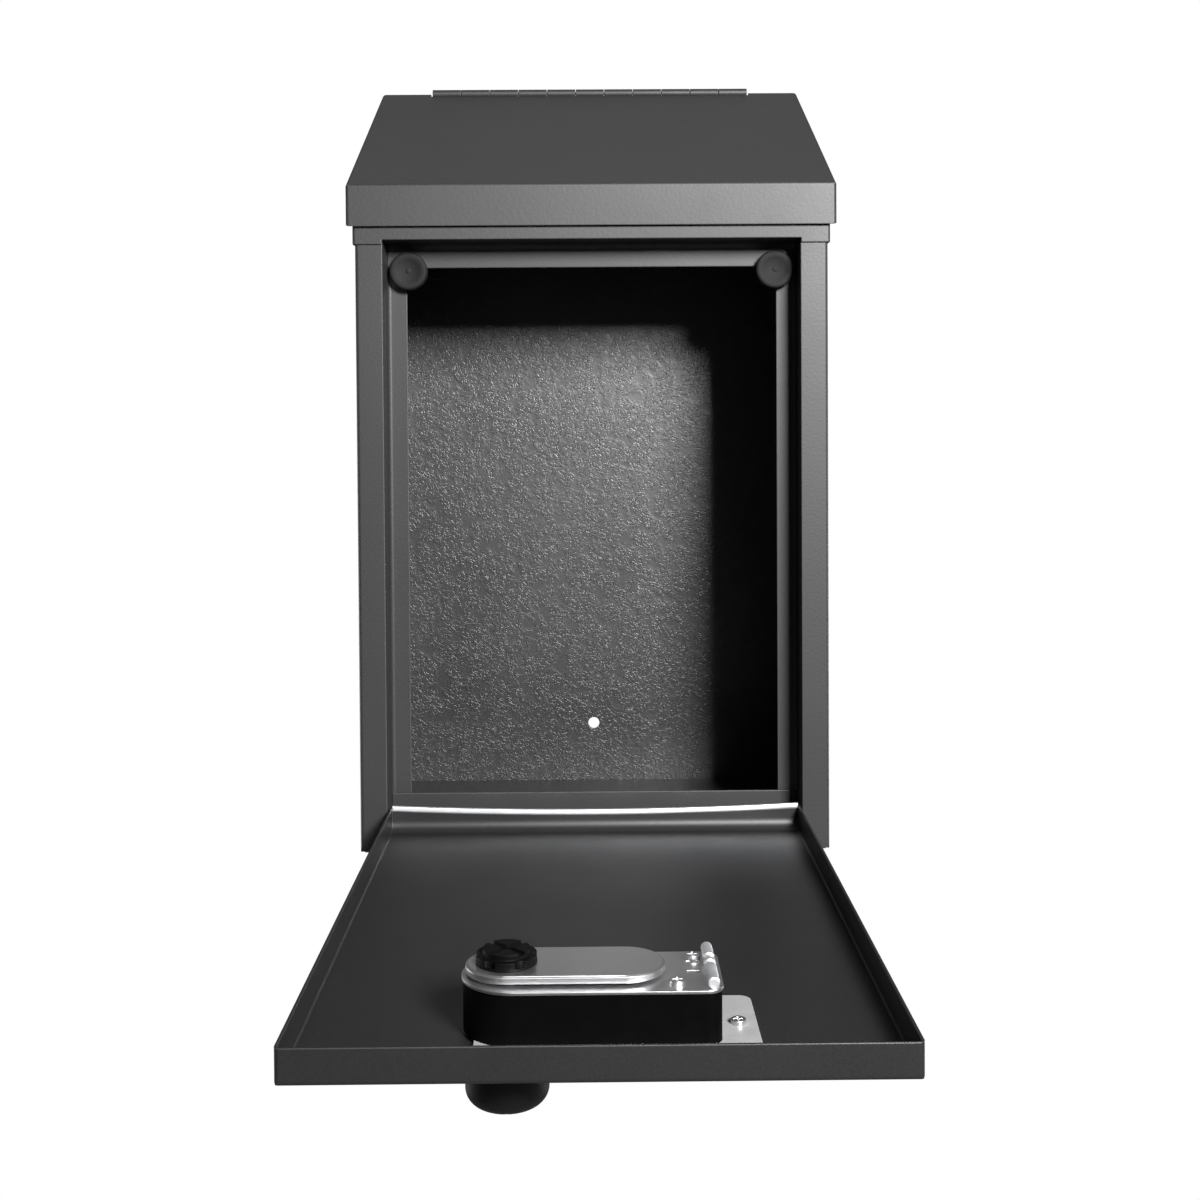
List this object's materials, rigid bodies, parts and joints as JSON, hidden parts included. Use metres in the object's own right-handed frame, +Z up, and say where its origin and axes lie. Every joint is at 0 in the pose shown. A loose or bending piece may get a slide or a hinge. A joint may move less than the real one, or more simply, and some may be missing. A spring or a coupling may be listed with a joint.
{
  "type": "parcel drop box",
  "caption": "Wall-mounted steel drop box with a sloping lift-up lid, a drop-down front door on a sill hinge and a knob-turned push-button latch.",
  "frame": {"origin": "centre of the two wall bolt holes, on the wall face of the back panel", "axes": "+Z up, +Y into the wall, -Y the way the door faces, +X to the right of someone facing the box; door drawn open, lid closed"},
  "size_m": [0.279, 0.4813, 0.4843],
  "materials": {
    "powder_coat": "textured satin powder coat",
    "rubber": "matt",
    "coated_hinge": "satin powder coat",
    "bright_zinc": "bright zinc plate",
    "grey_nylon": "satin",
    "black_case": "satin black",
    "black_nut": "satin black",
    "plated_steel": "satin nickel plate",
    "key_metal": "satin nickel plate",
    "brass": "turned"
  },
  "bodies": {
    "box": {"back_panel": "powder_coat", "left_side_panel": "powder_coat", "right_side_panel": "powder_coat", "bottom_panel": "powder_coat", "header_rail": "powder_coat", "front_threshold": "powder_coat", "left_door_jamb": "powder_coat", "right_door_jamb": "powder_coat", "top_door_jamb": "powder_coat", "door_bumpers": "rubber", "baffle_plate": "powder_coat", "header_seal": "rubber", "lid_hinge_body_leaf": "coated_hinge", "lid_hinge_pin": "coated_hinge", "door_hinge_body_leaf": "bright_zinc", "door_hinge_pin": "bright_zinc"},
    "lid": {"lid_shell": "powder_coat", "lid_hinge_lid_leaf": "coated_hinge"},
    "door": {"door_pan": "powder_coat", "door_hinge_door_leaf": "bright_zinc", "lock_base_plate": "grey_nylon", "lock_body": "black_case", "lock_back_plate": "plated_steel", "lock_screws": "plated_steel", "change_pin": "plated_steel", "keypad_housing": "black_case", "spindle_bush": "brass"},
    "latch": {"knob": "black_case", "spindle": "plated_steel", "cam_washer": "plated_steel", "cam_plate": "plated_steel", "cam_nut": "black_nut"},
    "key_1_body": {"key_1": "key_metal"},
    "key_2_body": {"key_2": "key_metal"},
    "key_3_body": {"key_3": "key_metal"},
    "key_4_body": {"key_4": "key_metal"},
    "key_5_body": {"key_5": "key_metal"},
    "key_6_body": {"key_6": "key_metal"},
    "key_7_body": {"key_7": "key_metal"},
    "key_8_body": {"key_8": "key_metal"},
    "key_9_body": {"key_9": "key_metal"},
    "key_0_body": {"key_0": "key_metal"}
  },
  "joints": [
    {"name": "lid_lift", "type": "hinge", "parent": "box", "child": "lid", "pos_m": [0, -0.003, 0.24556], "axis": [-1, 0, 0], "range_deg": [0, 90]},
    {"name": "door_drop", "type": "hinge", "parent": "box", "child": "door", "pos_m": [0, -0.15195, -0.20085], "axis": [-1, 0, 0], "range_deg": [0, 90]},
    {"name": "latch_turn", "type": "hinge", "parent": "door", "child": "latch", "pos_m": [-0.036, -0.4353, -0.2089], "axis": [0, 0, -1], "range_deg": [0, 90]},
    {"name": "key_1_press", "type": "slide", "parent": "door", "child": "key_1_body", "axis": [0, 0, 1], "range_m": [0, 0.0015], "stiffness_N_per_m": 800},
    {"name": "key_2_press", "type": "slide", "parent": "door", "child": "key_2_body", "axis": [0, 0, 1], "range_m": [0, 0.0015], "stiffness_N_per_m": 800},
    {"name": "key_3_press", "type": "slide", "parent": "door", "child": "key_3_body", "axis": [0, 0, 1], "range_m": [0, 0.0015], "stiffness_N_per_m": 800},
    {"name": "key_4_press", "type": "slide", "parent": "door", "child": "key_4_body", "axis": [0, 0, 1], "range_m": [0, 0.0015], "stiffness_N_per_m": 800},
    {"name": "key_5_press", "type": "slide", "parent": "door", "child": "key_5_body", "axis": [0, 0, 1], "range_m": [0, 0.0015], "stiffness_N_per_m": 800},
    {"name": "key_6_press", "type": "slide", "parent": "door", "child": "key_6_body", "axis": [0, 0, 1], "range_m": [0, 0.0015], "stiffness_N_per_m": 800},
    {"name": "key_7_press", "type": "slide", "parent": "door", "child": "key_7_body", "axis": [0, 0, 1], "range_m": [0, 0.0015], "stiffness_N_per_m": 800},
    {"name": "key_8_press", "type": "slide", "parent": "door", "child": "key_8_body", "axis": [0, 0, 1], "range_m": [0, 0.0015], "stiffness_N_per_m": 800},
    {"name": "key_9_press", "type": "slide", "parent": "door", "child": "key_9_body", "axis": [0, 0, 1], "range_m": [0, 0.0015], "stiffness_N_per_m": 800},
    {"name": "key_0_press", "type": "slide", "parent": "door", "child": "key_0_body", "axis": [0, 0, 1], "range_m": [0, 0.0015], "stiffness_N_per_m": 800}
  ]
}
